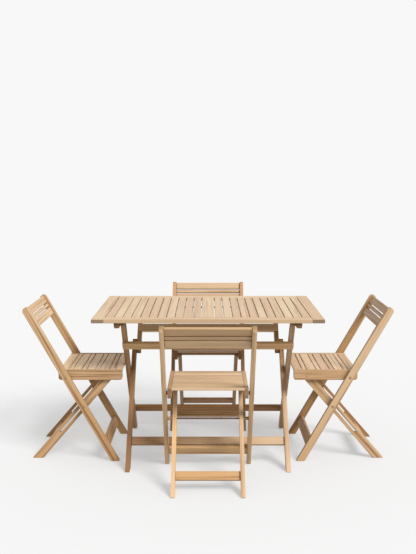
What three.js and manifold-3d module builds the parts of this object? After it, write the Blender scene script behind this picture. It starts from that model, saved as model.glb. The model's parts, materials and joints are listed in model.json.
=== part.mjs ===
// Patio dining set: a slatted table on folding X legs and four slatted folding chairs.
// Millimetres, +Z up, origin on the floor under the middle of the set, +Y towards the rear chair.
import * as THREE from "three";
import { mergeVertices } from "three/addons/utils/BufferGeometryUtils.js";
import Module from "manifold-3d";

const wasm = await Module();
wasm.setup();

// ---- clearances ----
const touchGap = 0.3;
const jointGap = 0.5;
const roundSteps = 8;

// ---- table top ----
const tableLength = 1100;
const tableDepth = 700;
const tableHeight = 740;
const topThickness = 18.5;
const frameBoardWidth = 57;
const deckGap = 4;
const deckSlatsPerSide = 11;
const centreBoardWidth = 64;
const topCornerRadius = 6;

// ---- table battens, hinge blocks and legs ----
const battenWidth = 24;
const battenHeight = 35;
const battenLength = 624;
const battenGap = 4;
const tableLegWidth = 40;
const tableLegThickness = 22;
const tableLegFace = 420;
const tableLayerGap = 1;
const tableFootChamfer = 3;
const hingeDrop = 24.5;
const outerLegHingeY = -242;
const outerLegFootY = 305;
const innerLegFootY = -332;
const innerLegAngle = THREE.MathUtils.degToRad(51.3);
const innerLegEnd = 43;
const braceTail = 36;
const hingeBlockWidth = 25;
const hingeBlockLength = 80;

// ---- table rails and fasteners ----
const railThickness = 18;
const upperRailWidth = 42;
const upperRailDrop = 126;
const braceRailWidth = 42;
const braceRailDrop = 132;
const lowerRailWidth = 40;
const frontStretcherHeight = 114;
const rearStretcherHeight = 115;
const rearStretcherWidth = 41;
const tableBoltRadius = 5;
const tableBoltHeadRadius = 8;
const tableBoltHead = 2;

// ---- chair frame: two long legs that run up into the back ----
const longLegWidth = 36;
const longLegThickness = 20;
const chairWidth = 421;
const seatPivotHeight = 422.6;
const longLegAngle = THREE.MathUtils.degToRad(60.4);
const postLength = 380;
const footChamfer = 3;
const frontStretcherWidth = 44;
const frontStretcherThickness = 18;
const chairStretcherHeight = 83;
const backSlatThickness = 15;
const backSlatWide = 40;
const backSlatNarrow = 18;
const backSlatGap = 6;
const backTopInset = 6.5;

// ---- chair seat ----
const seatTopHeight = 455;
const seatRailHeight = 50;
const seatRailThickness = 18;
const seatSideGap = 6;
const seatBehindPivot = 40;
const seatAheadPivot = 275;
const seatCornerRadius = 12;
const seatSlatThickness = 9.5;
const seatSlatNarrow = 19;
const seatSlatGap = 4.4;
const seatSlatInset = 1;
const seatSlatDrop = 1.5;
const seatWideSlats = 5;

// ---- chair rear legs with their slots ----
const rearLegWidth = 40;
const rearLegThickness = 19;
const rearLegSideGap = 1;
const rearPivotAhead = 210.7;
const rearPivotRise = 0.8;
const slotPinBelow = 168.7;
const slotEndRoom = 1;
const rearStretcherBoard = 40;
const rearStretcherThickness = 16;
const rearStretcherCentre = 68;

// ---- chair pins ----
const pinRadius = 4;
const capRadius = 6.5;
const capHeight = 1.5;
const pivotCollarRadius = 9;
const dowelRadius = 6;
const spacerRadius = 8;

// ---- where things stand ----
const tableMiddleY = -14;
const sideChairX = 699;
const frontChairY = -483;
const rearChairY = 483;

// ---- finishes ----
const oiledWood = new THREE.MeshStandardMaterial({ color: 0xcda878, roughness: 0.55, metalness: 0 });
const darkerWood = new THREE.MeshStandardMaterial({ color: 0xb98a56, roughness: 0.55, metalness: 0 });
const brassPlate = new THREE.MeshStandardMaterial({ color: 0xb8955a, roughness: 0.35, metalness: 0.9 });

// ---- geometry helpers; a side outline has y to the right and z up and is extruded along x ----
const sideways = new THREE.Matrix4().makeBasis(
  new THREE.Vector3(0, 1, 0),
  new THREE.Vector3(0, 0, 1),
  new THREE.Vector3(1, 0, 0),
);

const polar = (angle, length = 1) => new THREE.Vector2(Math.cos(angle), Math.sin(angle)).multiplyScalar(length);

function toSolid(geometry) {
  const plain = geometry.index ? geometry.toNonIndexed() : geometry.clone();
  plain.deleteAttribute("normal");
  plain.deleteAttribute("uv");
  const merged = mergeVertices(plain, 1e-4);
  const mesh = new wasm.Mesh({
    numProp: 3,
    vertProperties: new Float32Array(merged.attributes.position.array),
    triVerts: new Uint32Array(merged.index.array),
  });
  return new wasm.Manifold(mesh);
}

function toGeometry(solid) {
  const mesh = solid.getMesh();
  const geometry = new THREE.BufferGeometry();
  geometry.setAttribute("position", new THREE.BufferAttribute(new Float32Array(mesh.vertProperties), 3));
  geometry.setIndex(new THREE.BufferAttribute(new Uint32Array(mesh.triVerts), 1));
  const flat = geometry.toNonIndexed();
  flat.computeVertexNormals();
  return flat;
}

const union = (geometries) => geometries.map(toSolid).reduce((sum, next) => sum.add(next));
const joined = (geometries) => toGeometry(union(geometries));
const cut = (geometries, tools) => toGeometry(union(geometries).subtract(union(tools)));

function extruded(shape, x0, x1, steps = roundSteps) {
  const geometry = new THREE.ExtrudeGeometry(shape, { depth: x1 - x0, bevelEnabled: false, curveSegments: steps });
  return geometry.applyMatrix4(sideways).translate(x0, 0, 0);
}

function bore(centre, radius) {
  return new THREE.Path().absarc(centre.x, centre.y, radius, 0, 2 * Math.PI, true);
}

// A slot with round ends from one centre to the other.
function slotPath(from, to, radius) {
  const angle = to.clone().sub(from).angle();
  const path = new THREE.Path();
  path.absarc(to.x, to.y, radius, angle + Math.PI / 2, angle - Math.PI / 2, true);
  path.absarc(from.x, from.y, radius, angle - Math.PI / 2, angle - 1.5 * Math.PI, true);
  path.closePath();
  return path;
}

// A straight leg from the floor to a round end; foot is where its centre line meets the floor.
function legOutline(foot, end, width, chamfer) {
  const along = end.clone().sub(foot).normalize();
  const side = new THREE.Vector2(along.y, -along.x);
  const half = width / 2;
  const reach = half / Math.abs(along.y);
  const rise = chamfer / Math.abs(along.y);
  const right = new THREE.Vector2(foot.x + reach, 0);
  const left = new THREE.Vector2(foot.x - reach, 0);
  const angle = side.angle();
  const shape = new THREE.Shape();
  shape.moveTo(left.x + chamfer, 0);
  shape.lineTo(right.x - chamfer, 0);
  shape.lineTo(right.x + along.x * rise, along.y * rise);
  shape.absarc(end.x, end.y, half, angle, angle + Math.PI, false);
  shape.lineTo(left.x + along.x * rise, along.y * rise);
  shape.closePath();
  return shape;
}

// A straight board with both ends round, centred on two points.
function armOutline(from, to, width) {
  const angle = to.clone().sub(from).angle();
  const shape = new THREE.Shape();
  shape.absarc(from.x, from.y, width / 2, angle + Math.PI / 2, angle + 1.5 * Math.PI, false);
  shape.absarc(to.x, to.y, width / 2, angle - Math.PI / 2, angle + Math.PI / 2, false);
  shape.closePath();
  return shape;
}

// The cross-section of a rail: its width runs along the angle, its thickness across it.
function railOutline(centre, angle, width, thickness) {
  const along = polar(angle, width / 2);
  const across = polar(angle + Math.PI / 2, thickness / 2);
  const corners = [[-1, -1], [1, -1], [1, 1], [-1, 1]];
  return new THREE.Shape(corners.map(([a, b]) => centre.clone().addScaledVector(along, a).addScaledVector(across, b)));
}

// A turned pin along x from a list of [x, radius] steps.
function turned(profile, centre, sides = 16) {
  const points = [[profile[0][0], 0], ...profile, [profile.at(-1)[0], 0]];
  const outline = points.map(([x, radius]) => new THREE.Vector2(radius, x));
  const geometry = new THREE.LatheGeometry(outline, sides);
  geometry.rotateZ(-Math.PI / 2);
  return geometry.translate(0, centre.x, centre.y);
}

function piece(name, geometry, material) {
  const mesh = new THREE.Mesh(geometry, material);
  mesh.name = name;
  return mesh;
}

// Pairs are built on the +x side and mirrored by turning the x limits round.
const sides = [["right", 1], ["left", -1]];
const span = (sign, inner, outer) => (sign > 0 ? [inner, outer] : [-outer, -inner]);
const flipped = (profile, sign) => (sign > 0 ? profile : profile.map(([x, r]) => [-x, r]).reverse());

// ---- chair ----
const seatPivot = new THREE.Vector2(0, seatPivotHeight);
const down = polar(-longLegAngle);
const longFoot = new THREE.Vector2(seatPivotHeight / Math.tan(longLegAngle), 0);
const postEnd = seatPivot.clone().addScaledVector(down, -postLength);
const slotPin = seatPivot.clone().addScaledVector(down, slotPinBelow);
const rearPivot = new THREE.Vector2(rearPivotAhead, seatPivotHeight + rearPivotRise);
const rearDown = slotPin.clone().sub(rearPivot).normalize();
const rearFoot = rearPivot.clone().addScaledVector(rearDown, -rearPivot.y / rearDown.y);
const slotTravel = rearPivot.distanceTo(seatPivot) + slotPinBelow - rearPivot.distanceTo(slotPin);
const slotEnd = slotPin.clone().addScaledVector(rearDown, slotTravel + slotEndRoom);

const longLegOuter = chairWidth / 2;
const longLegInner = longLegOuter - longLegThickness;
const seatRailOuter = longLegInner - seatSideGap;
const seatRailInner = seatRailOuter - seatRailThickness;
const rearLegOuter = seatRailInner - rearLegSideGap;
const rearLegInner = rearLegOuter - rearLegThickness;

function longLeg(sign) {
  const outline = legOutline(longFoot, postEnd, longLegWidth, footChamfer);
  outline.holes.push(bore(seatPivot, pinRadius + touchGap));
  const board = extruded(outline, ...span(sign, longLegInner, longLegOuter));
  const cap = turned(flipped([[longLegOuter - jointGap, capRadius], [longLegOuter + capHeight, capRadius]], sign), slotPin);
  return joined([board, cap]);
}

function seatRail(sign) {
  const back = -seatBehindPivot;
  const front = seatAheadPivot;
  const low = seatTopHeight - seatRailHeight;
  const r = seatCornerRadius;
  const outline = new THREE.Shape();
  outline.moveTo(back, seatTopHeight);
  outline.lineTo(back, low + r);
  outline.absarc(back + r, low + r, r, Math.PI, 1.5 * Math.PI, false);
  outline.absarc(front - r, low + r, r, -Math.PI / 2, 0, false);
  outline.lineTo(front, seatTopHeight);
  outline.closePath();
  outline.holes.push(bore(seatPivot, pinRadius + touchGap));
  outline.holes.push(bore(rearPivot, dowelRadius + touchGap));
  return extruded(outline, ...span(sign, seatRailInner, seatRailOuter));
}

// Wide and narrow slats by turns, filling the rail from end to end.
function seatSlats() {
  const run = seatBehindPivot + seatAheadPivot - 2 * seatSlatInset;
  const count = 2 * seatWideSlats - 1;
  const spare = run - (seatWideSlats - 1) * seatSlatNarrow - (count - 1) * seatSlatGap;
  const wide = spare / seatWideSlats;
  const halfSpan = seatRailInner + seatSlatInset;
  const slats = [];
  let y = -seatBehindPivot + seatSlatInset;
  for (let i = 0; i < count; i += 1) {
    const width = i % 2 ? seatSlatNarrow : wide;
    const slat = new THREE.BoxGeometry(2 * halfSpan, width, seatSlatThickness);
    slats.push(slat.translate(0, y + width / 2, seatTopHeight - seatSlatDrop - seatSlatThickness / 2));
    y += width + seatSlatGap;
  }
  return slats;
}

function rearLegs() {
  const outline = legOutline(rearFoot, rearPivot, rearLegWidth, footChamfer);
  outline.holes.push(slotPath(slotPin, slotEnd, pinRadius + jointGap));
  const legs = sides.map(([, sign]) => extruded(outline, ...span(sign, rearLegInner, rearLegOuter)));
  const dowel = turned([[-seatRailOuter, dowelRadius], [seatRailOuter, dowelRadius]], rearPivot);
  const centre = rearFoot.clone().addScaledVector(rearDown, -rearStretcherCentre / Math.abs(rearDown.y));
  const section = railOutline(centre, rearDown.angle(), rearStretcherBoard, rearStretcherThickness);
  const stretcher = extruded(section, -rearLegInner - jointGap, rearLegInner + jointGap);
  return joined([...legs, dowel, stretcher]);
}

function slotRod() {
  const end = longLegInner - jointGap;
  const collar = rearLegOuter + jointGap;
  return turned([
    [-end, spacerRadius], [-collar, spacerRadius], [-collar, pinRadius],
    [collar, pinRadius], [collar, spacerRadius], [end, spacerRadius],
  ], slotPin);
}

function seatBolt(sign) {
  const profile = [
    [seatRailInner + jointGap, pinRadius],
    [seatRailOuter + touchGap, pinRadius],
    [seatRailOuter + touchGap, pivotCollarRadius],
    [longLegInner - touchGap, pivotCollarRadius],
    [longLegInner - touchGap, pinRadius],
    [longLegOuter + touchGap, pinRadius],
    [longLegOuter + touchGap, capRadius],
    [longLegOuter + capHeight, capRadius],
  ];
  return turned(flipped(profile, sign), seatPivot);
}

// A board between the long legs, at a distance from the seat pivot along them, upwards positive.
function betweenLongLegs(distance, width, thickness) {
  const centre = seatPivot.clone().addScaledVector(down, -distance);
  const end = longLegInner - touchGap;
  return extruded(railOutline(centre, down.angle(), width, thickness), -end, end);
}

function chair(name, x, y, turn) {
  const group = new THREE.Group();
  const add = (part, geometry, material) => group.add(piece(`${name}_${part}`, geometry, material));
  for (const [side, sign] of sides) {
    add(`long_leg_${side}`, longLeg(sign), darkerWood);
    add(`seat_bolt_${side}`, seatBolt(sign), brassPlate);
  }
  let edge = postLength + longLegWidth / 2 - backTopInset;
  const backSlats = [["top", backSlatWide], ["middle", backSlatNarrow], ["bottom", backSlatWide]];
  for (const [place, width] of backSlats) {
    add(`back_slat_${place}`, betweenLongLegs(edge - width / 2, width, backSlatThickness), oiledWood);
    edge -= width + backSlatGap;
  }
  const stretcherDistance = (chairStretcherHeight - seatPivotHeight) / Math.sin(longLegAngle);
  add("front_stretcher", betweenLongLegs(stretcherDistance, frontStretcherWidth, frontStretcherThickness), darkerWood);
  add("seat", joined([seatRail(1), seatRail(-1), ...seatSlats()]), oiledWood);
  add("rear_leg_frame", rearLegs(), darkerWood);
  add("slot_rod", slotRod(), brassPlate);
  group.position.set(x, y, 0);
  group.rotation.z = turn;
  return group;
}

// ---- table ----
const topUnder = tableHeight - topThickness;
const hingeHeight = topUnder - hingeDrop;
const topHinge = new THREE.Vector2(outerLegHingeY, hingeHeight);
const outerFoot = new THREE.Vector2(outerLegFootY, 0);
const innerFoot = new THREE.Vector2(innerLegFootY, 0);
const outerDown = outerFoot.clone().sub(topHinge).normalize();
const innerUp = polar(innerLegAngle);

// The legs cross where both centre lines have the same height.
const outerRun = -outerDown.x / outerDown.y;
const innerRun = innerUp.x / innerUp.y;
const crossHeight = (outerFoot.x - innerFoot.x) / (innerRun + outerRun);
const legCross = new THREE.Vector2(innerFoot.x + innerRun * crossHeight, crossHeight);
const braceHinge = new THREE.Vector2(innerFoot.x + innerRun * hingeHeight, hingeHeight);

// The brace knee is placed so that top, legs and brace all lie in one line when folded.
const hingeSpan = topHinge.distanceTo(braceHinge);
const crossToHinge = legCross.distanceTo(topHinge);
const crossToBrace = legCross.distanceTo(braceHinge);
const kneeReach = (crossToHinge + crossToBrace - hingeSpan) / 2;
const knee = legCross.clone().addScaledVector(innerUp, kneeReach);

const outerLegInnerFace = tableLegFace - tableLegThickness;
const innerLegFace = outerLegInnerFace - tableLayerGap;
const innerLegInnerFace = innerLegFace - tableLegThickness;
const braceFace = innerLegInnerFace - tableLayerGap;
const braceInnerFace = braceFace - tableLegThickness;
const battenInner = tableLegFace + battenGap;
const battenOuter = battenInner + battenWidth;

function deckOutline() {
  const w = tableLength / 2;
  const d = tableDepth / 2;
  const r = topCornerRadius;
  const shape = new THREE.Shape();
  shape.absarc(w - r, -d + r, r, -Math.PI / 2, 0, false);
  shape.absarc(w - r, d - r, r, 0, Math.PI / 2, false);
  shape.absarc(-w + r, d - r, r, Math.PI / 2, Math.PI, false);
  shape.absarc(-w + r, -d + r, r, Math.PI, 1.5 * Math.PI, false);
  shape.closePath();
  return shape;
}

// Every gap runs front to back between the long rails, the same on both sides of the centre board.
function deckGaps() {
  const fieldEnd = tableLength / 2 - frameBoardWidth;
  const fieldStart = centreBoardWidth / 2;
  const pitch = (fieldEnd - fieldStart - deckGap) / deckSlatsPerSide;
  const depth = tableDepth / 2 - frameBoardWidth;
  const gaps = [];
  for (const [, sign] of sides) {
    for (let i = 0; i <= deckSlatsPerSide; i += 1) {
      const middle = sign * (fieldStart + i * pitch + deckGap / 2);
      const gap = new THREE.BoxGeometry(deckGap, 2 * depth, 2 * topThickness);
      gaps.push(gap.translate(middle, 0, tableHeight - topThickness / 2));
    }
  }
  return gaps;
}

function tableTop() {
  const deck = new THREE.ExtrudeGeometry(deckOutline(), { depth: topThickness, bevelEnabled: false, curveSegments: 3 });
  deck.translate(0, 0, topUnder);
  const y0 = braceHinge.x - hingeBlockLength / 2;
  const y1 = braceHinge.x + hingeBlockLength / 2;
  const low = topUnder - battenHeight;
  const corners = [[y0, low], [y1, low], [y1, topUnder + touchGap], [y0, topUnder + touchGap]];
  const outlineBlock = new THREE.Shape(corners.map(([y, z]) => new THREE.Vector2(y, z)));
  outlineBlock.holes.push(bore(braceHinge, tableBoltRadius + touchGap));
  const outer = braceInnerFace - tableLayerGap;
  const blocks = sides.map(([, sign]) => extruded(outlineBlock, ...span(sign, outer - hingeBlockWidth, outer)));
  return cut([deck, ...blocks], deckGaps());
}

function batten(sign) {
  const half = battenLength / 2;
  const high = topUnder - touchGap;
  const low = topUnder - battenHeight;
  const corners = [[-half, low + battenHeight / 2], [-half + battenHeight / 2, low], [half - battenHeight / 2, low]];
  corners.push([half, low + battenHeight / 2], [half, high], [-half, high]);
  const outline = new THREE.Shape(corners.map(([y, z]) => new THREE.Vector2(y, z)));
  outline.holes.push(bore(topHinge, tableBoltRadius + touchGap));
  return extruded(outline, ...span(sign, battenInner, battenOuter));
}

function outerLeg(sign) {
  const outline = legOutline(outerFoot, topHinge, tableLegWidth, tableFootChamfer);
  outline.holes.push(bore(topHinge, tableBoltRadius + touchGap), bore(legCross, tableBoltRadius + touchGap));
  return extruded(outline, ...span(sign, outerLegInnerFace, tableLegFace));
}

function innerLeg(sign) {
  const end = knee.clone().addScaledVector(innerUp, innerLegEnd - tableLegWidth / 2);
  const outline = legOutline(innerFoot, end, tableLegWidth, tableFootChamfer);
  outline.holes.push(bore(legCross, tableBoltRadius + touchGap));
  return extruded(outline, ...span(sign, innerLegInnerFace, innerLegFace));
}

// The rail of the brace frame is let into the front edges of its two arms.
function braceFrame() {
  const tail = knee.clone().addScaledVector(innerUp, tableLegWidth / 2 - braceTail);
  const outline = armOutline(tail, braceHinge, tableLegWidth);
  outline.holes.push(bore(braceHinge, tableBoltRadius + touchGap));
  const arms = sides.map(([, sign]) => extruded(outline, ...span(sign, braceInnerFace, braceFace)));
  const ahead = new THREE.Vector2(-innerUp.y, innerUp.x);
  const centre = braceHinge.clone().addScaledVector(innerUp, -braceRailDrop);
  centre.addScaledVector(ahead, (tableLegWidth - railThickness) / 2 + touchGap);
  const rail = extruded(railOutline(centre, innerLegAngle, braceRailWidth, railThickness), -braceFace, braceFace);
  return joined([...arms, rail]);
}

// A rail laid on the edges of the outer legs; front is -1 on their front edges, 1 on their rear edges.
function outerLegRail(distance, width, front, gap) {
  const behind = new THREE.Vector2(-outerDown.y, outerDown.x);
  const centre = topHinge.clone().addScaledVector(outerDown, distance);
  centre.addScaledVector(behind, front * ((tableLegWidth + railThickness) / 2 + gap));
  return extruded(railOutline(centre, outerDown.angle(), width, railThickness), -tableLegFace, tableLegFace);
}

function frontStretcher() {
  const centre = innerFoot.clone().addScaledVector(innerUp, frontStretcherHeight / innerUp.y);
  const end = innerLegInnerFace - touchGap;
  return extruded(railOutline(centre, innerLegAngle, lowerRailWidth, railThickness), -end, end);
}

function hingeBolt(sign) {
  const profile = [
    [outerLegInnerFace + jointGap, tableBoltRadius],
    [battenOuter + touchGap, tableBoltRadius],
    [battenOuter + touchGap, tableBoltHeadRadius],
    [battenOuter + tableBoltHead, tableBoltHeadRadius],
  ];
  return turned(flipped(profile, sign), topHinge);
}

function crossBolt(sign) {
  const profile = [
    [innerLegInnerFace + jointGap, tableBoltRadius],
    [tableLegFace + touchGap, tableBoltRadius],
    [tableLegFace + touchGap, tableBoltHeadRadius],
    [tableLegFace + tableBoltHead, tableBoltHeadRadius],
  ];
  return turned(flipped(profile, sign), legCross);
}

function table() {
  const group = new THREE.Group();
  const add = (part, geometry, material) => group.add(piece(`table_${part}`, geometry, material));
  add("top", tableTop(), oiledWood);
  for (const [side, sign] of sides) {
    add(`batten_${side}`, batten(sign), darkerWood);
    add(`outer_leg_${side}`, outerLeg(sign), darkerWood);
    add(`inner_leg_${side}`, innerLeg(sign), darkerWood);
    add(`hinge_bolt_${side}`, hingeBolt(sign), brassPlate);
    add(`cross_bolt_${side}`, crossBolt(sign), brassPlate);
  }
  const legLength = topHinge.distanceTo(outerFoot);
  const rearDistance = legLength + rearStretcherHeight / outerDown.y;
  add("brace_frame", braceFrame(), darkerWood);
  add("upper_front_rail", outerLegRail(upperRailDrop, upperRailWidth, -1, touchGap), oiledWood);
  add("lower_rear_stretcher", outerLegRail(rearDistance, rearStretcherWidth, 1, touchGap), darkerWood);
  add("lower_front_stretcher", frontStretcher(), darkerWood);
  const rodEnd = braceFace - jointGap;
  add("brace_rod", turned([[-rodEnd, tableBoltRadius], [rodEnd, tableBoltRadius]], braceHinge), brassPlate);
  group.position.y = tableMiddleY;
  return group;
}

const group = new THREE.Group();
group.add(table());
group.add(chair("front_chair", 0, frontChairY, 0));
group.add(chair("rear_chair", 0, rearChairY, Math.PI));
group.add(chair("left_chair", -sideChairX, tableMiddleY, -Math.PI / 2));
group.add(chair("right_chair", sideChairX, tableMiddleY, Math.PI / 2));

export default group;
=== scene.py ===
import json
import math
import random

import bmesh
import bpy
from mathutils import Matrix, Vector


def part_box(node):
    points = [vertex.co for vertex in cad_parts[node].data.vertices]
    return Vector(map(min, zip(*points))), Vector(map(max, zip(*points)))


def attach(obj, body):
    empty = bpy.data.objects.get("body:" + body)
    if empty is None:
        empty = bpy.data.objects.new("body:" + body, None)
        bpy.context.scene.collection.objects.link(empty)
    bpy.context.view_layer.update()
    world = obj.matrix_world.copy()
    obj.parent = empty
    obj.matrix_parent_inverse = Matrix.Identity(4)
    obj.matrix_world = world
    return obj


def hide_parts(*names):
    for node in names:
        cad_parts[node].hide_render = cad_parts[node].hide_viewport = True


# Patio dining set: a slatted folding table and four slatted folding chairs, in metres.
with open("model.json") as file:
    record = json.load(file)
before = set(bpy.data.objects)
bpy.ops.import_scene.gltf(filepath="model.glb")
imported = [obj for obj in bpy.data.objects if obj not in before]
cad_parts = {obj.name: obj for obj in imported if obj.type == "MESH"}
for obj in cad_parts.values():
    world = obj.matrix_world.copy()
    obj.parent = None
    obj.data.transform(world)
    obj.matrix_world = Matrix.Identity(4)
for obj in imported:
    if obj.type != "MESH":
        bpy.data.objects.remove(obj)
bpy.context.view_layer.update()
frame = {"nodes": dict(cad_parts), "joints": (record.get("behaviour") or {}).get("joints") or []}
pivots = {joint["name"]: Vector(joint["pos_m"]) for joint in frame["joints"] if "pos_m" in joint}
chairNames = ("front_chair", "rear_chair", "left_chair", "right_chair")
rightward = Vector((1, 0, 0))
upward = Vector((0, 0, 1))
sides = (("right", 1), ("left", -1))
unmoved = (0, 0, 0)
print("frame loaded:", len(frame["nodes"]), "nodes")


def middleOf(node):
    low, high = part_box(node)
    return (low + high) / 2


# a socket that can be added, multiplied and so on
class Wire:
    def __init__(self, sheet, socket):
        self.sheet = sheet
        self.socket = socket

    def __add__(self, other):
        return self.sheet.maths("ADD", self, other)

    def __radd__(self, other):
        return self.sheet.maths("ADD", other, self)

    def __sub__(self, other):
        return self.sheet.maths("SUBTRACT", self, other)

    def __rsub__(self, other):
        return self.sheet.maths("SUBTRACT", other, self)

    def __mul__(self, other):
        return self.sheet.maths("MULTIPLY", self, other)

    def __rmul__(self, other):
        return self.sheet.maths("MULTIPLY", other, self)

    def __truediv__(self, other):
        return self.sheet.maths("DIVIDE", self, other)

    def __pow__(self, other):
        return self.sheet.maths("POWER", self, other)


class Sheet:
    # the nodes of one material or world
    def __init__(self, holder):
        holder.use_nodes = True
        self.holder = holder
        self.tree = holder.node_tree
        self.tree.nodes.clear()

    def node(self, kind, settings, values):
        made = self.tree.nodes.new(kind)
        for key, value in settings.items():
            setattr(made, key, value)
        for key, value in values.items():
            if isinstance(value, Wire):
                self.tree.links.new(value.socket, made.inputs[key])
            else:
                made.inputs[key].default_value = value
        return made

    def maths(self, operation, *terms):
        made = self.node("ShaderNodeMath", {"operation": operation}, dict(enumerate(terms)))
        return Wire(self, made.outputs[0])

    def limited(self, value, low, high):
        # a soft step that goes from 0 at low to 1 at high
        settings = {"interpolation_type": "SMOOTHSTEP"}
        made = self.node("ShaderNodeMapRange", settings, {0: value, 1: low, 2: high})
        return Wire(self, made.outputs[0])

    def attribute(self, name, output):
        made = self.node("ShaderNodeAttribute", {"attribute_name": name}, {})
        return Wire(self, made.outputs[output])

    def scaled(self, vector, factors):
        made = self.node("ShaderNodeVectorMath", {"operation": "MULTIPLY"}, {0: vector, 1: factors})
        return Wire(self, made.outputs[0])

    def split(self, vector):
        made = self.node("ShaderNodeSeparateXYZ", {}, {0: vector})
        return [Wire(self, output) for output in made.outputs]

    def cloud(self, vector, factors, detail=3.0, distortion=0.0):
        place = self.scaled(vector, factors)
        values = {"Vector": place, "Scale": 1.0, "Detail": detail, "Distortion": distortion}
        made = self.node("ShaderNodeTexNoise", {}, values)
        return Wire(self, made.outputs[0])

    def tinted(self, factor, first, second, mode="MIX"):
        settings = {"data_type": "RGBA", "blend_type": mode}
        made = self.node("ShaderNodeMix", settings, {0: factor, 6: first, 7: second})
        return Wire(self, made.outputs[2])

    def grey(self, value):
        made = self.node("ShaderNodeCombineColor", {}, {0: value, 1: value, 2: value})
        return Wire(self, made.outputs[0])

    def finished(self, values, height, bump):
        # the shader, with its relief from one height value
        relief = self.node("ShaderNodeBump", {}, {"Height": height, **bump})
        values["Normal"] = Wire(self, relief.outputs[0])
        shader = self.node("ShaderNodeBsdfPrincipled", {}, values)
        self.node("ShaderNodeOutputMaterial", {}, {"Surface": Wire(self, shader.outputs[0])})
        return self.holder


def rgb(red, green, blue):
    return (red, green, blue, 1.0)


# colours of the oiled hardwoods, some as lighter or darker copies of one wood: the seat copy is painted light,
# the rail copy is partly a darker wood and partly painted shade, and each wood's darkest colour is painted
# shade; rings and streaks say how strongly the grain shows
woodLooks = {
    "deckWood": {
        "pale": rgb(0.415, 0.310, 0.198), "warm": rgb(0.365, 0.250, 0.150), "rosy": rgb(0.370, 0.245, 0.160),
        "deepShade": rgb(0.250, 0.150, 0.075), "late": rgb(0.225, 0.135, 0.070),
        "endGrain": rgb(0.120, 0.080, 0.048),
        "roughness": 0.46, "rings": 0.34, "streaks": 0.34,
    },
    # painted light: a lighter copy of the slat wood, for the seats that face the light and the brace rail in
    # the table's shadow
    "litSeatWood": {
        "pale": rgb(0.485, 0.350, 0.218), "warm": rgb(0.420, 0.285, 0.168), "rosy": rgb(0.415, 0.270, 0.170),
        "deepShade": rgb(0.280, 0.165, 0.080), "late": rgb(0.250, 0.150, 0.078),
        "endGrain": rgb(0.190, 0.125, 0.075),
        "roughness": 0.48, "rings": 0.34, "streaks": 0.36,
    },
    "slatWood": {
        "pale": rgb(0.395, 0.280, 0.170), "warm": rgb(0.330, 0.212, 0.112), "rosy": rgb(0.330, 0.200, 0.118),
        "deepShade": rgb(0.235, 0.125, 0.058), "late": rgb(0.200, 0.110, 0.050),
        "endGrain": rgb(0.170, 0.110, 0.062),
        "roughness": 0.50, "rings": 0.36, "streaks": 0.40,
    },
    "frameWood": {
        "pale": rgb(0.400, 0.278, 0.165), "warm": rgb(0.330, 0.188, 0.078), "rosy": rgb(0.310, 0.160, 0.072),
        "deepShade": rgb(0.170, 0.078, 0.028), "late": rgb(0.170, 0.075, 0.026),
        "endGrain": rgb(0.130, 0.070, 0.032),
        "roughness": 0.48, "rings": 0.40, "streaks": 0.48,
    },
    # partly a darker wood and partly painted shade: a darker, more orange copy for the rails, stretchers, brace
    # arms, battens and blocks
    "railWoodDarkAndShaded": {
        "pale": rgb(0.420, 0.265, 0.130), "warm": rgb(0.330, 0.172, 0.060), "rosy": rgb(0.290, 0.130, 0.048),
        "deepShade": rgb(0.190, 0.080, 0.024), "late": rgb(0.150, 0.062, 0.020),
        "endGrain": rgb(0.100, 0.048, 0.020),
        "roughness": 0.50, "rings": 0.42, "streaks": 0.48,
    },
    "pegWood": {
        "pale": rgb(0.330, 0.215, 0.115), "warm": rgb(0.300, 0.185, 0.090), "rosy": rgb(0.290, 0.170, 0.085),
        "deepShade": rgb(0.200, 0.110, 0.050), "late": rgb(0.190, 0.105, 0.050),
        "endGrain": rgb(0.270, 0.170, 0.085),
        "roughness": 0.55, "rings": 0.20, "streaks": 0.20,
    },
}
# how often each cloud repeats per metre, along the grain, across it and through it
grainLook = {
    "drift": (1.1, 8.0, 8.0), "ripple": (9.0, 60.0, 60.0), "fibre": (9.0, 620.0, 620.0),
    "streak": (2.2, 70.0, 70.0), "patch": (3.0, 16.0, 16.0), "pores": (42.0, 1500.0, 1500.0),
    "glow": (1.7, 9.0, 9.0), "endRough": (300.0, 260.0, 260.0), "rubbed": (14.0, 40.0, 40.0),
    "ringSpacing": 0.0046, "wander": 0.05, "rippleDepth": 2.4, "lateSharpness": 2.5,
    "streakBend": 0.4, "patchDepth": 0.40, "glowDepth": 0.50, "paintedLift": rgb(1.28, 1.27, 1.20),
    "fibreShade": 0.20, "poreShade": 0.16, "rubbedDepth": 0.35,
    "fibreRough": 0.18, "lateRough": 0.06, "endRoughness": 0.2, "rubbedRough": 0.08,
    "refraction": 1.46, "gloss": 0.28, "bump": 0.45, "relief": 0.0006,
}


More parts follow.
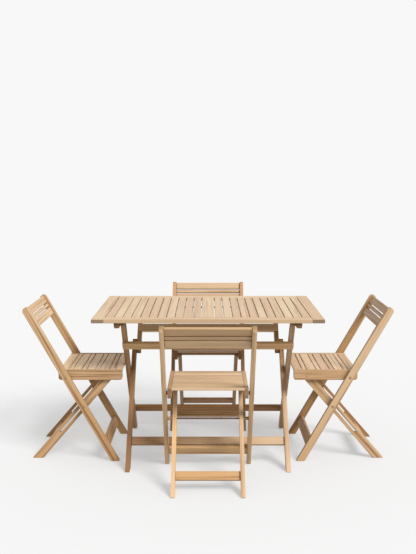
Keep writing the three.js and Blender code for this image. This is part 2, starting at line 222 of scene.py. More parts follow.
def makeWood(name, look):
    grain = grainLook
    sheet = Sheet(bpy.data.materials.new(name))
    place = sheet.attribute("grainSpace", "Vector")  # x runs along the grain
    toneAndShade = sheet.attribute("boardToneAndShade", "Fac")
    hue = sheet.attribute("boardHue", "Fac")
    eased = sheet.attribute("easedEdge", "Fac")
    endFace = sheet.attribute("endFace", "Fac")
    # growth rings about the heart of the tree
    drift = sheet.cloud(place, grain["drift"], 2.0)
    across, depth = sheet.split(place)[1:]
    bent = across + (drift - 0.5) * grain["wander"]
    distance = (bent * bent + depth * depth) ** 0.5
    ripple = sheet.cloud(place, grain["ripple"], 2.0)
    phase = distance * (2 * math.pi / grain["ringSpacing"]) + ripple * grain["rippleDepth"]
    ring = sheet.maths("SINE", phase) * 0.5 + 0.5
    lateWood = ring ** grain["lateSharpness"]
    fibre = sheet.cloud(place, grain["fibre"], 4.0)
    streak = sheet.cloud(place, grain["streak"], 3.0, grain["streakBend"])
    patch = sheet.cloud(place, grain["patch"], 2.0)
    pores = sheet.limited(sheet.cloud(place, grain["pores"], 1.0), 0.62, 0.72)
    # the board's own colour, with slow warm stretches along it; listed boards past warm are darkened into
    # painted shade and listed boards below pale are lightened with painted light
    colour = sheet.tinted(sheet.limited(toneAndShade, 0.0, 1.0), look["pale"], look["warm"])
    colour = sheet.tinted(sheet.limited(hue, 0.55, 0.95), colour, look["rosy"])
    glow = sheet.cloud(place, grain["glow"], 1.0)
    colour = sheet.tinted(sheet.limited(glow, 0.42, 0.66) * grain["glowDepth"], colour, look["warm"])
    # painted shade above 1 and painted light below 0
    colour = sheet.tinted(sheet.limited(toneAndShade, 1.0, 2.0), colour, look["deepShade"])
    paintedLighter = sheet.tinted(1.0, colour, grain["paintedLift"], "MULTIPLY")
    colour = sheet.tinted(sheet.limited(0.0 - toneAndShade, 0.0, 1.0), colour, paintedLighter)
    marks = lateWood * look["rings"] + sheet.limited(streak, 0.45, 0.75) * look["streaks"]
    marks = marks + (patch - 0.5) * grain["patchDepth"]
    colour = sheet.tinted(sheet.limited(marks, 0.0, 0.9), colour, look["late"])
    shade = 0.90 + fibre * grain["fibreShade"] - pores * grain["poreShade"]
    colour = sheet.tinted(1.0, colour, sheet.grey(shade), "MULTIPLY")
    # the rings and fibres stand on end where a board is cut across
    endRough = sheet.cloud(place, grain["endRough"], 3.0)
    endMask = endFace * (0.62 + endRough * 0.38)
    colour = sheet.tinted(endMask, colour, look["endGrain"])
    rubbed = eased * sheet.limited(sheet.cloud(place, grain["rubbed"], 3.0), 0.40, 0.70)
    colour = sheet.tinted(rubbed * grain["rubbedDepth"], colour, look["pale"])
    roughness = look["roughness"] + (fibre - 0.5) * grain["fibreRough"] + lateWood * grain["lateRough"]
    roughness = roughness + endFace * grain["endRoughness"] - rubbed * grain["rubbedRough"]
    height = fibre * 0.5 - lateWood * 0.35 - pores * 0.7 + endMask * endRough
    values = {
        "Base Color": colour, "Roughness": roughness, "IOR": grain["refraction"],
        "Specular IOR Level": grain["gloss"],
    }
    return sheet.finished(values, height, {"Strength": grain["bump"], "Distance": grain["relief"]})


woods = {name: makeWood(name, look) for name, look in woodLooks.items()}

# plated fittings and dark rods, both gone dull
metalLook = {"bright": rgb(0.36, 0.24, 0.13), "dull": rgb(0.15, 0.09, 0.045), "roughness": 0.50, "bump": 0.3}
bronzeLook = {
    "bright": rgb(0.16, 0.085, 0.04), "dull": rgb(0.07, 0.035, 0.018), "roughness": 0.55, "bump": 0.3,
}


def makeMetal(name, look):
    sheet = Sheet(bpy.data.materials.new(name))
    where = sheet.node("ShaderNodeTexCoord", {}, {})
    place = Wire(sheet, where.outputs["Object"])
    tarnish = sheet.cloud(place, (90.0, 90.0, 90.0), 4.0)
    scratch = sheet.cloud(place, (1400.0, 300.0, 300.0), 2.0)
    mask = sheet.limited(tarnish, 0.42, 0.66)
    colour = sheet.tinted(mask, look["bright"], look["dull"])
    roughness = look["roughness"] + mask * 0.22 + (scratch - 0.5) * 0.12
    metallic = 0.85 - mask * 0.25
    values = {"Base Color": colour, "Roughness": roughness, "Metallic": metallic}
    return sheet.finished(values, tarnish + scratch * 0.5, {"Strength": look["bump"], "Distance": 0.0002})


metal = makeMetal("platedMetal", metalLook)
bronze = makeMetal("darkBronze", bronzeLook)
print("materials made")

# every board starts as a flat outline in its own frame
boardLook = {
    "eased": 0.0018, "edgeSteps": 2, "roundSteps": 7, "roundShare": 0.995,
    "sharpAngle": math.radians(34),
}
dice = random.Random(7)


def flatOutline(corners):
    bm = bmesh.new()
    bm.faces.new([bm.verts.new((x, y, 0)) for x, y in corners])
    return bm


def roundCorners(bm, picked, radius, steps):
    bmesh.ops.bevel(
        bm, geom=picked, offset=radius, offset_type="OFFSET", affect="VERTICES",
        segments=steps, profile=0.5, material=-1, clamp_overlap=False,
    )


def nearest(bm, x, y):
    return min(bm.verts, key=lambda vertex: (vertex.co - Vector((x, y, 0))).length)


def thicken(bm, thickness):
    bmesh.ops.remove_doubles(bm, verts=bm.verts, dist=1e-5)
    made = bmesh.ops.extrude_face_region(bm, geom=bm.faces[:])
    top = [item for item in made["geom"] if isinstance(item, bmesh.types.BMVert)]
    bmesh.ops.translate(bm, verts=top, vec=(0, 0, thickness))
    bmesh.ops.translate(bm, verts=bm.verts, vec=(0, 0, -thickness / 2))
    bmesh.ops.recalc_face_normals(bm, faces=bm.faces)
    return bm


def plainBoard(length, width, thickness):
    a, b = length / 2, width / 2
    return thicken(flatOutline([(-a, -b), (a, -b), (a, b), (-a, b)]), thickness)


def legBoard(length, width, thickness, lean, chamfer):
    # from the floor at x 0 to a round end; lean is how far the floor cut runs along the board per width
    half = width / 2
    corners = [(half * lean, -half), (length + half, -half), (length + half, half), (-half * lean, half)]
    bm = flatOutline(corners)
    bm.verts.ensure_lookup_table()
    roundCorners(bm, [bm.verts[1], bm.verts[2]], half * boardLook["roundShare"], boardLook["roundSteps"])
    foot = [nearest(bm, half * lean, -half), nearest(bm, -half * lean, half)]
    roundCorners(bm, foot, chamfer, 1)
    return thicken(bm, thickness)


def roundedBoard(x0, x1, width, thickness):
    # both ends round about x0 and x1
    half = width / 2
    bm = flatOutline([(x0 - half, -half), (x1 + half, -half), (x1 + half, half), (x0 - half, half)])
    roundCorners(bm, bm.verts[:], half * boardLook["roundShare"], boardLook["roundSteps"])
    return thicken(bm, thickness)


def cutAway(bm, cutter):
    pair = []
    for source in (bm, cutter):
        mesh = bpy.data.meshes.new("working")
        source.to_mesh(mesh)
        holder = bpy.data.objects.new("working", mesh)
        bpy.context.scene.collection.objects.link(holder)
        pair.append(holder)
    change = pair[0].modifiers.new("cut", "BOOLEAN")
    change.operation = "DIFFERENCE"
    change.solver = "EXACT"
    change.object = pair[1]
    graph = bpy.context.evaluated_depsgraph_get()
    result = bpy.data.meshes.new_from_object(pair[0].evaluated_get(graph))
    bm.clear()
    bm.from_mesh(result)
    cutter.free()
    for holder in pair:
        mesh = holder.data
        bpy.data.objects.remove(holder)
        bpy.data.meshes.remove(mesh)
    bpy.data.meshes.remove(result)


def easeEdges(bm, radius, steps):
    sharp = [edge for edge in bm.edges if edge.calc_face_angle(0) > boardLook["sharpAngle"]]
    made = bmesh.ops.bevel(
        bm, geom=sharp, offset=radius, offset_type="OFFSET", affect="EDGES",
        segments=steps, profile=0.5, material=-1, clamp_overlap=True,
    )
    return set(made["faces"])


# how warm or dark a board is at its two ends (-1 lighter, 0 pale, 1 warm, 2 darkest) and its hue, for boards
# picked out by name; partly the boards' own colour and partly painted light and shade: boards in cast shadow,
# such as the table's left legs and the left end of its front stretcher, and the rear stretcher and the front
# chair's upper back slats in shade, are painted dark, and boards in shadow or facing the key light, such as the
# brace rail and the front chair's posts, are painted lighter
namedToneAndShade = {
    "table_inner_leg_left": (2.1, 1.3, 0.2), "table_inner_leg_right": (-0.3, 0.9, 0.2),
    "table_outer_leg_left": (1.3, 0.9, 0.2), "table_outer_leg_right": (0.9, 0.0, 0.2),
    "table_front_stretcher": (2.0, -0.1, 0.2), "table_rear_stretcher": (1.5, 1.5, 0.2),
    "table_upper_rail": (-0.4, -0.6, 0.2), "table_brace_rail": (-1.0, -1.0, 0.2),
    "front_chair_post_left": (-0.5, -0.8, 0.1), "front_chair_post_right": (-0.4, -0.8, 0.1),
    "front_chair_back_top": (1.1, 1.1, 0.6), "front_chair_back_middle": (1.1, 1.1, 0.3),
    "front_chair_back_bottom": (-0.4, -0.2, 0.1), "front_chair_foot_rail": (0.1, 0.4, 0.2),
    "front_chair_rear_rail": (0.9, 0.9, 0.2), "front_chair_rear_leg_left": (-0.5, -0.9, 0.2),
    "left_chair_post_right": (0.9, -0.3, 0.4), "left_chair_post_left": (1.3, 0.5, 0.3),
    "left_chair_rear_leg_right": (0.7, 0.2, 0.2), "left_chair_rear_leg_left": (1.6, 1.1, 0.2),
    "left_chair_seat_rail_right": (0.1, 0.1, 0.2), "left_chair_foot_rail": (0.3, 0.9, 0.2),
    "right_chair_post_left": (0.3, 0.1, 0.2), "right_chair_post_right": (1.5, 0.6, 0.2),
    "right_chair_rear_leg_left": (0.1, 0.5, 0.2), "right_chair_rear_leg_right": (1.5, 0.9, 0.2),
    "right_chair_seat_rail_left": (0.6, 0.4, 0.2), "right_chair_foot_rail": (0.4, 0.4, 0.3),
}
# painted light: the left chair's seat slats and back slats are lightened, with a small change from slat to slat
for number in range(1, 10):
    namedToneAndShade[f"left_chair_seat_slat_{number}"] = (-0.9 + 0.3 * (number % 3), -0.7, 0.2)
for part in ("top", "middle", "bottom"):
    namedToneAndShade[f"left_chair_back_{part}"] = (-0.4, -0.3, 0.2)


def paintGrain(bm, easedFaces, name):
    # the board's own coordinates, moved to its own place in the tree
    space = bm.verts.layers.float_vector.new("grainSpace")
    toneAndShade = bm.verts.layers.float.new("boardToneAndShade")
    hue = bm.verts.layers.float.new("boardHue")
    eased = bm.faces.layers.float.new("easedEdge")
    endFace = bm.faces.layers.float.new("endFace")
    inTree = Vector((dice.uniform(0, 5), dice.uniform(-0.05, 0.05), dice.uniform(0.02, 0.11)))
    ownTone, ownHue = dice.random(), dice.random()
    # boards picked out by name take their listed light and shade; the others keep a random colour of their own
    start, end, ownHue = namedToneAndShade.get(name, (ownTone, ownTone, ownHue))
    low = min(vertex.co.x for vertex in bm.verts)
    span = max(vertex.co.x for vertex in bm.verts) - low
    for vertex in bm.verts:
        vertex[space] = vertex.co + inTree
        vertex[toneAndShade] = start + (end - start) * (vertex.co.x - low) / span
        vertex[hue] = ownHue
    for face in bm.faces:
        flat = max(abs(value) for value in face.normal) > 0.999
        face.smooth = face in easedFaces or not flat
        face[eased] = 1.0 if face in easedFaces else 0.0
        face[endFace] = max(0.0, abs(face.normal.x) - 0.25) / 0.75


def boardFrame(origin, along, through):
    # x along the board, z through its thickness
    along, through = along.normalized(), through.normalized()
    across = through.cross(along)
    turn = Matrix((along, across, through)).transposed()
    return Matrix.Translation(origin) @ turn.to_4x4()


def makePiece(name, bm, material, body, nodes):
    bmesh.ops.recalc_face_normals(bm, faces=bm.faces)
    mesh = bpy.data.meshes.new(name)
    bm.to_mesh(mesh)
    bm.free()
    mesh.materials.append(material)
    piece = bpy.data.objects.new(name, mesh)
    bpy.context.scene.collection.objects.link(piece)
    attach(piece, body)
    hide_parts(*nodes)


def makeBoard(name, bm, place, wood, body, nodes, eased=None):
    easedFaces = easeEdges(bm, eased or boardLook["eased"], boardLook["edgeSteps"])
    paintGrain(bm, easedFaces, name)
    bmesh.ops.transform(bm, matrix=place, verts=bm.verts)
    makePiece(name, bm, woods[wood], body, nodes)


turnedLook = {"steps": 28, "eased": 0.0005, "edgeSteps": 2}


def turnedShape(profile):
    # a profile of (place along x, radius) spun about x
    bm = bmesh.new()
    points = [(profile[0][0], 0.0), *profile, (profile[-1][0], 0.0)]
    line = [bm.verts.new((x, radius, 0)) for x, radius in points]
    edges = [bm.edges.new(pair) for pair in zip(line, line[1:])]
    bmesh.ops.spin(
        bm, geom=line + edges, cent=(0, 0, 0), axis=(1, 0, 0), angle=2 * math.pi,
        steps=turnedLook["steps"], use_merge=True,
    )
    bmesh.ops.remove_doubles(bm, verts=bm.verts, dist=1e-6)
    bmesh.ops.recalc_face_normals(bm, faces=bm.faces)
    return bm


def makeFitting(name, profiles, place, material, body, nodes):
    whole = bmesh.new()
    for profile, shift in profiles:
        bm = turnedShape(profile)
        easedFaces = easeEdges(bm, turnedLook["eased"], turnedLook["edgeSteps"])
        paintGrain(bm, easedFaces, name)
        bmesh.ops.transform(bm, matrix=place @ Matrix.Translation(shift), verts=bm.verts)
        mesh = bpy.data.meshes.new("working")
        bm.to_mesh(mesh)
        whole.from_mesh(mesh)
        bm.free()
        bpy.data.meshes.remove(mesh)
    makePiece(name, whole, material, body, nodes)


longLegLook = {"width": 0.036, "chamfer": 0.003}
backLook = {"thickness": 0.015, "widths": {"top": 0.040, "middle": 0.018, "bottom": 0.040}, "eased": 0.0025}
frontStretcherLook = {"width": 0.044, "thickness": 0.018}
seatLook = {
    "railHeight": 0.050, "railThickness": 0.018, "behind": 0.040, "ahead": 0.275, "corner": 0.012,
    "cornerSteps": 5,
    "slatThickness": 0.0095, "slatDrop": 0.0015, "narrow": 0.019, "gap": 0.0044, "inset": 0.001, "wideSlats": 5,
    "eased": 0.0020,
}
rearLegLook = {
    "width": 0.040, "thickness": 0.019, "sideGap": 0.001, "chamfer": 0.003, "slotWidth": 0.009,
    "slotSpare": 0.001,
    "stretcherWidth": 0.040, "stretcherThickness": 0.016, "stretcherHeight": 0.068,
}
chairPinLook = {
    "pin": 0.004, "collar": 0.009, "cap": 0.0065, "capHeight": 0.0015, "dowel": 0.006, "dowelProud": 0.0004,
    "spacer": 0.008, "fit": 0.0005, "collarFit": 0.0003, "spacerFit": 0.0004,
}


def chairPlace(name):
    # the chair's own frame: y forwards, origin on the floor under the seat pivot
    seatPivot = pivots[f"{name}_fold"]
    forward = pivots[f"{name}_rear_leg_fold"] - seatPivot
    forward.z = 0
    forward.normalize()
    turn = Matrix((forward.cross(upward), forward, upward)).transposed()
    return Matrix.Translation((seatPivot.x, seatPivot.y, 0)) @ turn.to_4x4()


def halfWidths(node, place):
    # how far a node's outside and inside lie from the chair's middle plane
    corners = [place.inverted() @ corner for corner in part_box(node)]
    reach = sorted(abs(corner.x) for corner in corners)
    return reach[0], reach[1]


def makeChair(name):
    place = chairPlace(name)
    back = place.inverted()
    seatPivot = back @ pivots[f"{name}_fold"]
    rearPivot = back @ pivots[f"{name}_rear_leg_fold"]
    slotPin = back @ middleOf(f"{name}_slot_rod")
    body = {part: f"{name}_{part}" for part in ("frame", "seat", "rear_legs", "slot_rod")}
    makeLongLegs(name, place, seatPivot, slotPin, body)
    makeSeat(name, place, body)
    makeRearLegs(name, place, rearPivot, slotPin, body)
    makeChairPins(name, place, seatPivot, slotPin, body)


def makeLongLegs(name, place, seatPivot, slotPin, body):
    up = (seatPivot - slotPin).normalized()
    foot = seatPivot - up * (seatPivot.z / up.z)
    half = longLegLook["width"] / 2
    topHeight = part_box(f"{name}_long_leg_right")[1].z - half
    length = topHeight / up.z
    inner, outer = halfWidths(f"{name}_long_leg_right", place)
    outer -= chairPinLook["capHeight"]
    for side, sign in sides:
        middle = foot + rightward * sign * (inner + outer) / 2
        bm = legBoard(length, longLegLook["width"], outer - inner, up.y / up.z, longLegLook["chamfer"])
        at = place @ boardFrame(middle, up, rightward)
        makeBoard(f"{name}_post_{side}", bm, at, "frameWood", body["frame"], [f"{name}_long_leg_{side}"])
    for part, width in backLook["widths"].items():
        node = f"{name}_back_slat_{part}"
        slatEnd = halfWidths(node, place)[1]
        bm = plainBoard(2 * slatEnd, width, backLook["thickness"])
        at = place @ boardFrame(place.inverted() @ middleOf(node), rightward, rightward.cross(up))
        makeBoard(f"{name}_back_{part}", bm, at, "slatWood", body["frame"], [node], backLook["eased"])
    node = f"{name}_front_stretcher"
    width, thickness = frontStretcherLook["width"], frontStretcherLook["thickness"]
    bm = plainBoard(2 * halfWidths(node, place)[1], width, thickness)
    at = place @ boardFrame(place.inverted() @ middleOf(node), rightward, rightward.cross(up))
    makeBoard(f"{name}_foot_rail", bm, at, "railWoodDarkAndShaded", body["frame"], [node])


def makeSeat(name, place, body):
    look = seatLook
    node = f"{name}_seat"
    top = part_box(node)[1].z
    outer = halfWidths(node, place)[1]
    inner = outer - look["railThickness"]
    length = look["behind"] + look["ahead"]
    half = look["railHeight"] / 2
    for side, sign in sides:
        bm = flatOutline([(0, -half), (length, -half), (length, half), (0, half)])
        bm.verts.ensure_lookup_table()
        roundCorners(bm, [bm.verts[0], bm.verts[1]], look["corner"], look["cornerSteps"])
        thicken(bm, look["railThickness"])
        middle = Vector((sign * (inner + outer) / 2, -look["behind"], top - half))
        at = place @ boardFrame(middle, Vector((0, 1, 0)), rightward)
        makeBoard(f"{name}_seat_rail_{side}", bm, at, "frameWood", body["seat"], [node])
    run = length - 2 * look["inset"]
    count = 2 * look["wideSlats"] - 1
    spare = run - (look["wideSlats"] - 1) * look["narrow"] - (count - 1) * look["gap"]
    y = -look["behind"] + look["inset"]
    for number in range(count):
        width = look["narrow"] if number % 2 else spare / look["wideSlats"]
        bm = plainBoard(2 * inner, width, look["slatThickness"])
        middle = Vector((0, y + width / 2, top - look["slatDrop"] - look["slatThickness"] / 2))
        at = place @ boardFrame(middle, rightward, upward)
        makeBoard(f"{name}_seat_slat_{number + 1}", bm, at, "litSeatWood", body["seat"], [node], look["eased"])
        y += width + look["gap"]


def makeRearLegs(name, place, rearPivot, slotPin, body):
    look = rearLegLook
    node = f"{name}_rear_leg_frame"
    seatInner = halfWidths(f"{name}_seat", place)[1] - seatLook["railThickness"]
    outer = seatInner - look["sideGap"]
    up = (rearPivot - slotPin).normalized()
    foot = rearPivot - up * (rearPivot.z / up.z)
    length = rearPivot.z / up.z
    travel = next(j["range_m"][1] for j in frame["joints"] if j["name"] == f"{name}_rod_slide")
    slotTop = (slotPin - foot).length
    for side, sign in sides:
        bm = legBoard(length, look["width"], look["thickness"], up.y / up.z, look["chamfer"])
        slotBottom = slotTop - travel - look["slotSpare"]
        slot = roundedBoard(slotBottom, slotTop, look["slotWidth"], 3 * look["thickness"])
        cutAway(bm, slot)
        middle = foot + rightward * sign * (outer - look["thickness"] / 2)
        at = place @ boardFrame(middle, up, rightward)
        makeBoard(f"{name}_rear_leg_{side}", bm, at, "frameWood", body["rear_legs"], [node])
    centre = foot + up * (look["stretcherHeight"] / up.z)
    inner = outer - look["thickness"]
    bm = plainBoard(2 * inner, look["stretcherWidth"], look["stretcherThickness"])
    at = place @ boardFrame(centre, rightward, rightward.cross(up))
    makeBoard(f"{name}_rear_rail", bm, at, "frameWood", body["rear_legs"], [node])
    reach = outer + look["sideGap"] + seatLook["railThickness"] + chairPinLook["dowelProud"]
    radius = chairPinLook["dowel"]
    makeFitting(
        f"{name}_dowel", [([(-reach, radius), (reach, radius)], unmoved)],
        place @ Matrix.Translation(rearPivot), woods["pegWood"], body["rear_legs"], [node],
    )


def makeChairPins(name, place, seatPivot, slotPin, body):
    look = chairPinLook
    legInner, capOuter = halfWidths(f"{name}_long_leg_right", place)
    legOuter = capOuter - look["capHeight"]
    seatOuter = halfWidths(f"{name}_seat", place)[1]
    seatInner = seatOuter - seatLook["railThickness"]
    rearOuter = seatInner - rearLegLook["sideGap"]
    for side, sign in sides:
        profile = [
            (sign * (seatInner + look["fit"]), look["pin"]),
            (sign * (seatOuter + look["collarFit"]), look["pin"]),
            (sign * (seatOuter + look["collarFit"]), look["collar"]),
            (sign * (legInner - look["collarFit"]), look["collar"]),
        ]
        cap = [(sign * (legOuter - look["fit"]), look["cap"]), (sign * capOuter, look["cap"])]
        makeFitting(
            f"{name}_seat_bolt_{side}", [(profile, unmoved), (cap, unmoved)],
            place @ Matrix.Translation(seatPivot), metal, body["frame"], [f"{name}_seat_bolt_{side}"],
        )
        makeFitting(
            f"{name}_slot_cap_{side}", [(cap, unmoved)], place @ Matrix.Translation(slotPin),
            metal, body["frame"], [f"{name}_long_leg_{side}"],
        )
    end, collar = legInner - look["fit"], rearOuter + look["fit"]
    at = place @ Matrix.Translation(slotPin)
    rod = [(-end, look["pin"]), (end, look["pin"])]
    makeFitting(f"{name}_rod", [(rod, unmoved)], at, bronze, body["slot_rod"], [f"{name}_slot_rod"])
    spacer = [(collar, look["spacer"]), (end - look["spacerFit"], look["spacer"])]
    other = [(-x, radius) for x, radius in reversed(spacer)]
    makeFitting(
        f"{name}_rod_spacers", [(spacer, unmoved), (other, unmoved)], at,
        woods["pegWood"], body["slot_rod"], [f"{name}_slot_rod"],
    )


for chairName in chairNames:
    makeChair(chairName)
print("chairs made")

deckLook = {
    "thickness": 0.0185, "frameBoard": 0.057, "gap": 0.004, "slatsPerSide": 11, "centreBoard": 0.064,
    "eased": 0.0020, "joint": 0.0006,
}
tableLegLook = {
    "width": 0.040, "thickness": 0.022, "chamfer": 0.003, "layerGap": 0.001, "innerEnd": 0.043, "tail": 0.036,
}
tableRailLook = {
    "thickness": 0.018, "upper": 0.042, "brace": 0.042, "braceDrop": 0.132, "braceAhead": 0.0006,
    "rear": 0.041, "front": 0.040,
}
battenLook = {"thickness": 0.024, "height": 0.035, "length": 0.624}
blockLook = {"width": 0.025, "length": 0.080, "height": 0.035}
tableBoltLook = {
    "pin": 0.005, "head": 0.008, "headHeight": 0.002, "crown": 0.6, "fit": 0.0005,
    "screw": 0.0035, "screwHeight": 0.0004, "screwDepth": 0.001, "screwRise": 0.010,
}


def makeDeck():
    look = deckLook
    low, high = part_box("table_top")
    middle = (low + high) / 2
    halfLength, halfDepth = (high.x - low.x) / 2, (high.y - low.y) / 2
    z = high.z - look["thickness"] / 2
    forward = Vector((0, 1, 0))

    def deckBoard(name, x, y, along, length, width):
        bm = plainBoard(length, width, look["thickness"])
        at = boardFrame(Vector((x, middle.y + y, z)), along, upward)
        makeBoard(f"table_{name}", bm, at, "deckWood", "table_top", ["table_top"], look["eased"])

    board = look["frameBoard"]
    for side, sign in sides:
        deckBoard(f"end_board_{side}", sign * (halfLength - board / 2), 0, forward, 2 * halfDepth, board)
    railLength = 2 * (halfLength - board - look["joint"])
    for side, sign in (("rear", 1), ("front", -1)):
        deckBoard(f"deck_rail_{side}", 0, sign * (halfDepth - board / 2), rightward, railLength, board)
    slatLength = 2 * (halfDepth - board - look["joint"])
    deckBoard("centre_board", 0, 0, forward, slatLength, look["centreBoard"])
    fieldEnd = halfLength - board
    fieldStart = look["centreBoard"] / 2
    pitch = (fieldEnd - fieldStart - look["gap"]) / look["slatsPerSide"]
    for side, sign in sides:
        for number in range(look["slatsPerSide"]):
            x = sign * (fieldStart + look["gap"] + pitch * number + (pitch - look["gap"]) / 2)
            deckBoard(f"slat_{side}_{number + 1}", x, 0, forward, slatLength, pitch - look["gap"])


def tableLayers():
    # distances from the middle plane, from the outer legs inwards
    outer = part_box("table_outer_leg_right")[1].x
    thickness, gap = tableLegLook["thickness"], tableLegLook["layerGap"]
    inner = outer - thickness - gap
    brace = inner - thickness * 1.5 - gap
    return {"outer": outer - thickness / 2, "inner": inner - thickness / 2, "brace": brace}


def makeTableLegs():
    look = tableLegLook
    topHinge, cross = pivots["table_fold"], pivots["table_inner_leg_fold"]
    braceHinge = pivots["table_brace_fold"]
    layers = tableLayers()
    outerUp = (topHinge - cross).normalized()
    innerUp = (braceHinge - cross).normalized()
    kneeReach = ((cross - topHinge).length + (cross - braceHinge).length - (topHinge - braceHinge).length) / 2
    knee = cross + innerUp * kneeReach
    outerFoot = topHinge - outerUp * (topHinge.z / outerUp.z)
    innerFoot = cross - innerUp * (cross.z / innerUp.z)
    width, thickness = look["width"], look["thickness"]
    for side, sign in sides:
        length = (topHinge - outerFoot).length
        bm = legBoard(length, width, thickness, outerUp.y / outerUp.z, look["chamfer"])
        at = boardFrame(outerFoot + rightward * sign * layers["outer"], outerUp, rightward)
        node = f"table_outer_leg_{side}"
        makeBoard(node, bm, at, "frameWood", "table_outer_legs", [node])
        length = (knee - innerFoot).length + look["innerEnd"] - width / 2
        bm = legBoard(length, width, thickness, innerUp.y / innerUp.z, look["chamfer"])
        at = boardFrame(innerFoot + rightward * sign * layers["inner"], innerUp, rightward)
        node = f"table_inner_leg_{side}"
        makeBoard(node, bm, at, "frameWood", "table_inner_legs", [node])
        length = (braceHinge - knee).length + look["tail"] - width / 2
        bm = roundedBoard(-length, 0, width, thickness)
        at = boardFrame(braceHinge + rightward * sign * layers["brace"], innerUp, rightward)
        makeBoard(f"table_brace_arm_{side}", bm, at, "railWoodDarkAndShaded", "table_brace", ["table_brace_frame"])
    makeTableRails(outerUp, innerUp, braceHinge, layers)


def makeTableRails(outerUp, innerUp, braceHinge, layers):
    look = tableRailLook

    def rail(name, node, centre, up, length, width, body, wood):
        bm = plainBoard(length, width, look["thickness"])
        at = boardFrame(centre, rightward, rightward.cross(up))
        makeBoard(f"table_{name}", bm, at, wood, body, [node])

    outside = 2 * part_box("table_outer_leg_right")[1].x
    node = "table_upper_front_rail"
    rail("upper_rail", node, middleOf(node), outerUp, outside, look["upper"], "table_outer_legs", "railWoodDarkAndShaded")
    node = "table_lower_rear_stretcher"
    rail("rear_stretcher", node, middleOf(node), outerUp, outside, look["rear"], "table_outer_legs", "railWoodDarkAndShaded")
    node = "table_lower_front_stretcher"
    low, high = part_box(node)
    inside = high.x - low.x
    body = "table_inner_legs"
    rail("front_stretcher", node, middleOf(node), innerUp, inside, look["front"], body, "slatWood")
    ahead = rightward.cross(innerUp)
    centre = braceHinge - innerUp * look["braceDrop"]
    centre = centre + ahead * ((tableLegLook["width"] - look["thickness"]) / 2 + look["braceAhead"])
    length = 2 * (layers["brace"] + tableLegLook["thickness"] / 2)
    rail("brace_rail", "table_brace_frame", centre, innerUp, length, look["brace"], "table_brace", "litSeatWood")


def makeBattens():
    look = battenLook
    half, height = look["length"] / 2, look["height"]
    for side, sign in sides:
        node = f"table_batten_{side}"
        corners = [(-half, 0), (-half + height / 2, -height / 2), (half - height / 2, -height / 2), (half, 0)]
        corners += [(half, height / 2), (-half, height / 2)]
        bm = thicken(flatOutline(corners), look["thickness"])
        at = boardFrame(middleOf(node), Vector((0, 1, 0)), rightward)
        makeBoard(node, bm, at, "railWoodDarkAndShaded", "table_top", [node])
    layers = tableLayers()
    outer = layers["brace"] - tableLegLook["thickness"] / 2 - tableLegLook["layerGap"]
    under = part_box("table_top")[1].z - deckLook["thickness"]
    for side, sign in sides:
        bm = plainBoard(blockLook["length"], blockLook["height"], blockLook["width"])
        centre = Vector((sign * (outer - blockLook["width"] / 2), pivots["table_brace_fold"].y, 0))
        centre.z = under - blockLook["height"] / 2
        at = boardFrame(centre, Vector((0, 1, 0)), rightward)
        makeBoard(f"table_hinge_block_{side}", bm, at, "railWoodDarkAndShaded", "table_top", ["table_top"])


def makeTableBolts():
    look = tableBoltLook
    layers = tableLayers()
    half = tableLegLook["thickness"] / 2
    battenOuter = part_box("table_batten_right")[1].x
    legOuter = layers["outer"] + half
    for side, sign in sides:
        for name, joint, inner, outer in (
            ("hinge_bolt", "table_fold", layers["outer"] - half + look["fit"], battenOuter),
            ("cross_bolt", "table_inner_leg_fold", layers["inner"] - half + look["fit"], legOuter),
        ):
            profile = [
                (sign * inner, look["pin"]), (sign * outer, look["pin"]), (sign * outer, look["head"]),
                (sign * (outer + look["headHeight"] * look["crown"]), look["head"]),
                (sign * (outer + look["headHeight"]), look["head"] * look["crown"]),
            ]
            node = f"table_{name}_{side}"
            at = Matrix.Translation(pivots[joint])
            makeFitting(node, [(profile, unmoved)], at, metal, "table_outer_legs", [node])
    end = layers["brace"] + half - look["fit"]
    rod = [(-end, look["pin"]), (end, look["pin"])]
    at = Matrix.Translation(pivots["table_brace_fold"])
    makeFitting("table_rod", [(rod, unmoved)], at, metal, "table_top", ["table_brace_rod"])
    makeRailScrews()


def makeRailScrews():
    # two countersunk screws at each end of the upper rail, on its front face
    look = tableBoltLook
    up = (pivots["table_fold"] - pivots["table_inner_leg_fold"]).normalized()
    out = rightward.cross(up)
    if out.y > 0:
        out = -out
    centre = middleOf("table_upper_front_rail") + out * tableRailLook["thickness"] / 2
    disc = [(-look["screwDepth"], look["screw"]), (look["screwHeight"], look["screw"])]
    turn = boardFrame(Vector(unmoved), out, up)
    side = tableLayers()["outer"]
    whole = []
    for sign in (1, -1):
        for rise in (look["screwRise"], -look["screwRise"]):
            whole.append((disc, turn.inverted() @ (rightward * (sign * side) + up * rise)))
    place = Matrix.Translation(centre) @ turn
    makeFitting("table_rail_screws", whole, place, metal, "table_outer_legs", ["table_upper_front_rail"])


makeDeck()
makeTableLegs()
makeBattens()
makeTableBolts()
print("table made")

studioLook = {
    "floorSize": 120.0, "floorDrop": 0.0005, "floorColour": rgb(0.26, 0.26, 0.26), "floorGlow": 0.40,
    "horizon": 0.935, "overhead": 1.0,
    "horizonEnds": 0.28, "overheadStarts": 0.55,
    "keyStrength": 4.9, "keySpread": math.radians(26), "keyFrom": Vector((0.56, -0.62, 0.80)),
}


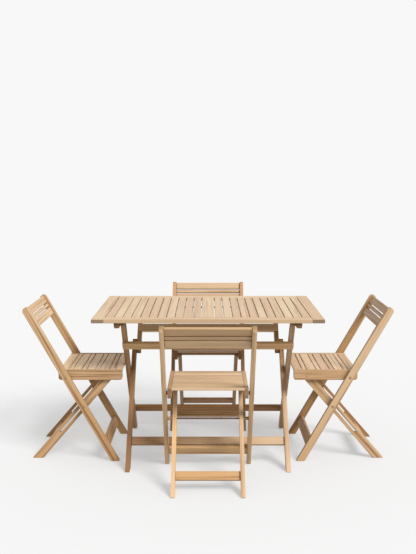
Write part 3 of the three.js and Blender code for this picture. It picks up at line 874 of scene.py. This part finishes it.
def makeFloor():
    bm = bmesh.new()
    bmesh.ops.create_grid(bm, x_segments=1, y_segments=1, size=studioLook["floorSize"] / 2)
    bmesh.ops.translate(bm, verts=bm.verts, vec=(0, 0, -studioLook["floorDrop"]))
    mesh = bpy.data.meshes.new("floor")
    bm.to_mesh(mesh)
    bm.free()
    sheet = Sheet(bpy.data.materials.new("studioFloor"))
    values = {
        "Base Color": studioLook["floorColour"], "Roughness": 0.9, "Specular IOR Level": 0.0,
        "Emission Color": rgb(1, 1, 1), "Emission Strength": studioLook["floorGlow"],
    }
    shader = sheet.node("ShaderNodeBsdfPrincipled", {}, values)
    sheet.node("ShaderNodeOutputMaterial", {}, {"Surface": Wire(sheet, shader.outputs[0])})
    mesh.materials.append(sheet.holder)
    floor = bpy.data.objects.new("floor", mesh)
    bpy.context.scene.collection.objects.link(floor)


def makeLight():
    # a white horizon all round, slightly brighter overhead, and a soft key light from the front right
    look = studioLook
    world = bpy.data.worlds.new("studio")
    bpy.context.scene.world = world
    sheet = Sheet(world)
    where = sheet.node("ShaderNodeTexCoord", {}, {})
    height = sheet.split(Wire(sheet, where.outputs["Generated"]))[2]
    raised = sheet.limited(height, look["horizonEnds"], look["overheadStarts"])
    strength = look["horizon"] + raised * (look["overhead"] - look["horizon"])
    background = sheet.node("ShaderNodeBackground", {}, {"Color": rgb(1, 1, 1), "Strength": strength})
    sheet.node("ShaderNodeOutputWorld", {}, {"Surface": Wire(sheet, background.outputs[0])})
    lamp = bpy.data.lights.new("softbox", "SUN")
    lamp.energy = look["keyStrength"]
    lamp.angle = look["keySpread"]
    holder = bpy.data.objects.new("softbox", lamp)
    holder.rotation_euler = look["keyFrom"].to_track_quat("Z", "Y").to_euler()
    bpy.context.scene.collection.objects.link(holder)


cameraLook = {
    "sensor": 36.0, "lens": 50.03, "height": 1.4254, "distance": 3.9091, "pitch": 5.73, "shiftUp": -0.0489,
}


def makeCamera():
    lens = bpy.data.cameras.new("camera")
    lens.sensor_width = cameraLook["sensor"]
    lens.lens = cameraLook["lens"]
    lens.shift_y = cameraLook["shiftUp"]
    holder = bpy.data.objects.new("camera", lens)
    middle = middleOf("table_top")
    holder.location = (0, middle.y - cameraLook["distance"], cameraLook["height"])
    holder.rotation_euler = (math.radians(90 - cameraLook["pitch"]), 0, 0)
    bpy.context.scene.collection.objects.link(holder)
    bpy.context.scene.camera = holder


makeFloor()
makeLight()
makeCamera()
bpy.context.scene.view_settings.view_transform = "Standard"
print("studio made")
